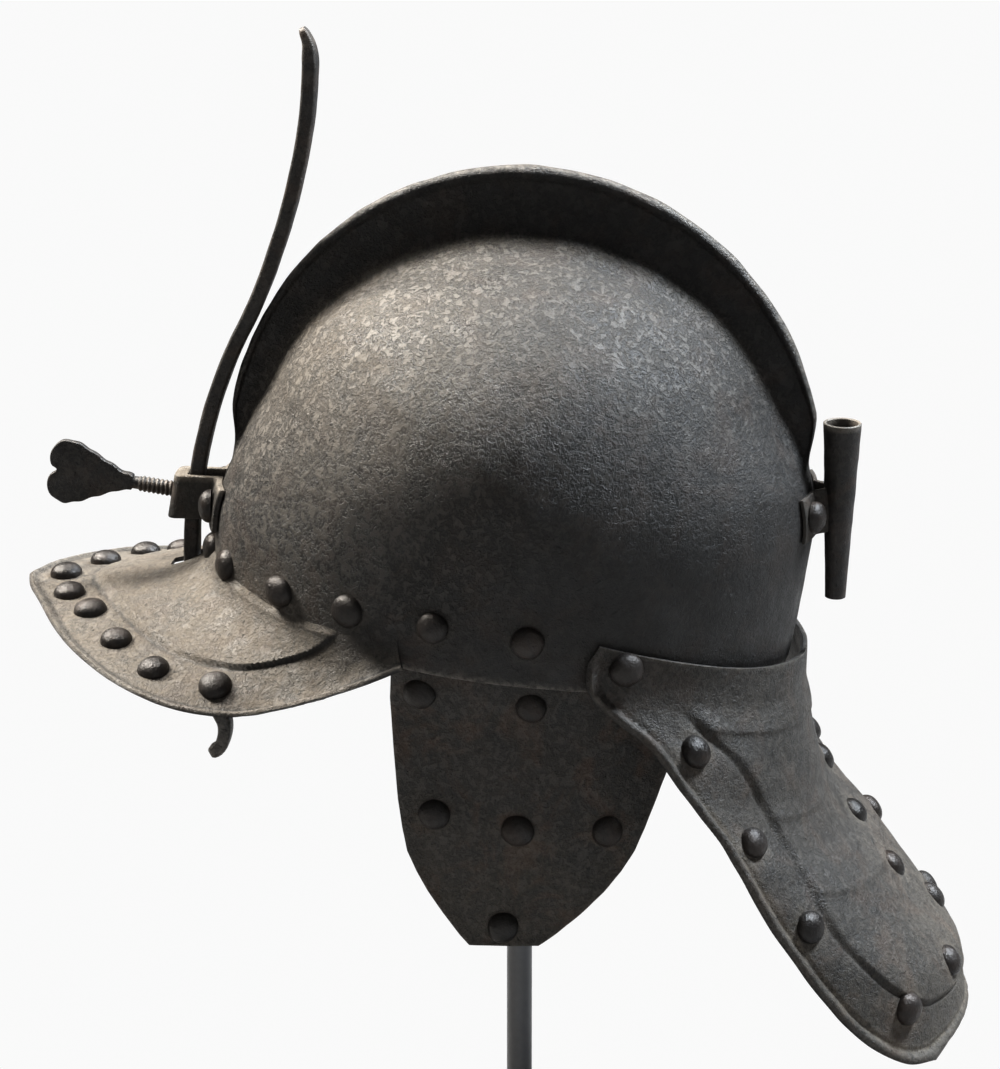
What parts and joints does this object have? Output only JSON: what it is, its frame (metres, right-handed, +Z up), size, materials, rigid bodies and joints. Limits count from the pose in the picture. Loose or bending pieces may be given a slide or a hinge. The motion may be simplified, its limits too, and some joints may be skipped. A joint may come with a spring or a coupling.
{
  "type": "lobster-tail pot helmet on a display stand",
  "caption": "Combed cavalry pot helmet with riveted peak, sliding face bar, cheek pieces, flared neck guard and plume tube, set on a plain disc stand.",
  "frame": {"origin": "centre of the stand base's underside", "axes": "+Z up, the helmet's front towards -Y, the wearer's left towards +X"},
  "size_m": [0.2016, 0.3753, 0.4716],
  "materials": {
    "iron": "pitted dark brown patina",
    "rivets": "dark, smoother than the plates",
    "stand": "plain grey satin"
  },
  "bodies": {
    "helmet": {"skull": "iron", "neck_guard": "iron", "cheek_piece_left": "iron", "cheek_piece_right": "iron", "nasal_bracket": "iron", "plume_holder": "iron", "bracket_rivet_left": "rivets", "bracket_rivet_right": "rivets", "plume_rivet_left": "rivets", "plume_rivet_right": "rivets", "neck_pivot_left": "rivets", "neck_pivot_right": "rivets", "stand_base": "stand", "stand_pole": "stand", "stand_rest": "stand"},
    "face_bar": {"nasal_bar": "iron"},
    "clamp_screw": {"thumb_screw": "iron"}
  },
  "joints": [
    {"name": "face_bar_slide", "type": "hinge", "parent": "helmet", "child": "face_bar", "pos_m": [0, 0.082, 0.258], "axis": [1, 0, 0], "range_deg": [-15, 12]},
    {"name": "clamp_screw_turn", "type": "hinge", "parent": "helmet", "child": "clamp_screw", "pos_m": [0, -0.139, 0.2854], "axis": [0, -0.9909, 0.1346], "continuous": true}
  ]
}
